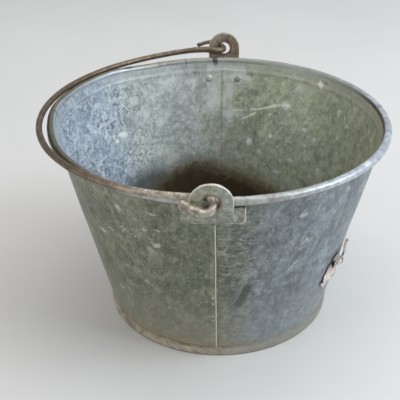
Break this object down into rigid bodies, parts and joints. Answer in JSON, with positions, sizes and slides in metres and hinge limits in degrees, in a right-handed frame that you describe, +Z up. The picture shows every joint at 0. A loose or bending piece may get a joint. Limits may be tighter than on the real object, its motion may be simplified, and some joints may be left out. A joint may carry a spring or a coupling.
{
  "type": "milk pail",
  "caption": "Flaring galvanised sheet-steel pail with a rolled rim, seamed sides, riveted ears and a hinged wire bail lying along the rim.",
  "frame": {"origin": "centre of the pail's foot ring, on the floor", "axes": "+Z up along the pail's axis, the two ears on the Y axis (front ear at -Y), the bail lies towards -X"},
  "size_m": [0.3396, 0.3808, 0.227],
  "materials": {
    "galvanised_left": "aged hot-dip zinc, satin",
    "galvanised_right": "aged hot-dip zinc, satin",
    "galvanised_bottom": "aged zinc with rust",
    "wire": "plain steel wire, hidden in the rim",
    "ear": "zinc-coated malleable iron",
    "rivet": "zinc-coated",
    "bail": "dull zinc-coated wire with rust at the hooks"
  },
  "bodies": {
    "pail": {"body_panel_left": "galvanised_left", "body_panel_right": "galvanised_right", "bottom_pan": "galvanised_bottom", "rim_wire": "wire", "ear_front": "ear", "ear_back": "ear", "rivet_front_left": "rivet", "rivet_front_right": "rivet", "rivet_back_left": "rivet", "rivet_back_right": "rivet"},
    "bail": {"bail": "bail"}
  },
  "joints": [
    {"name": "bail_swing", "type": "hinge", "parent": "pail", "child": "bail", "pos_m": [0, 0, 0.2095], "axis": [0, 1, 0], "range_deg": [0, 180]}
  ]
}
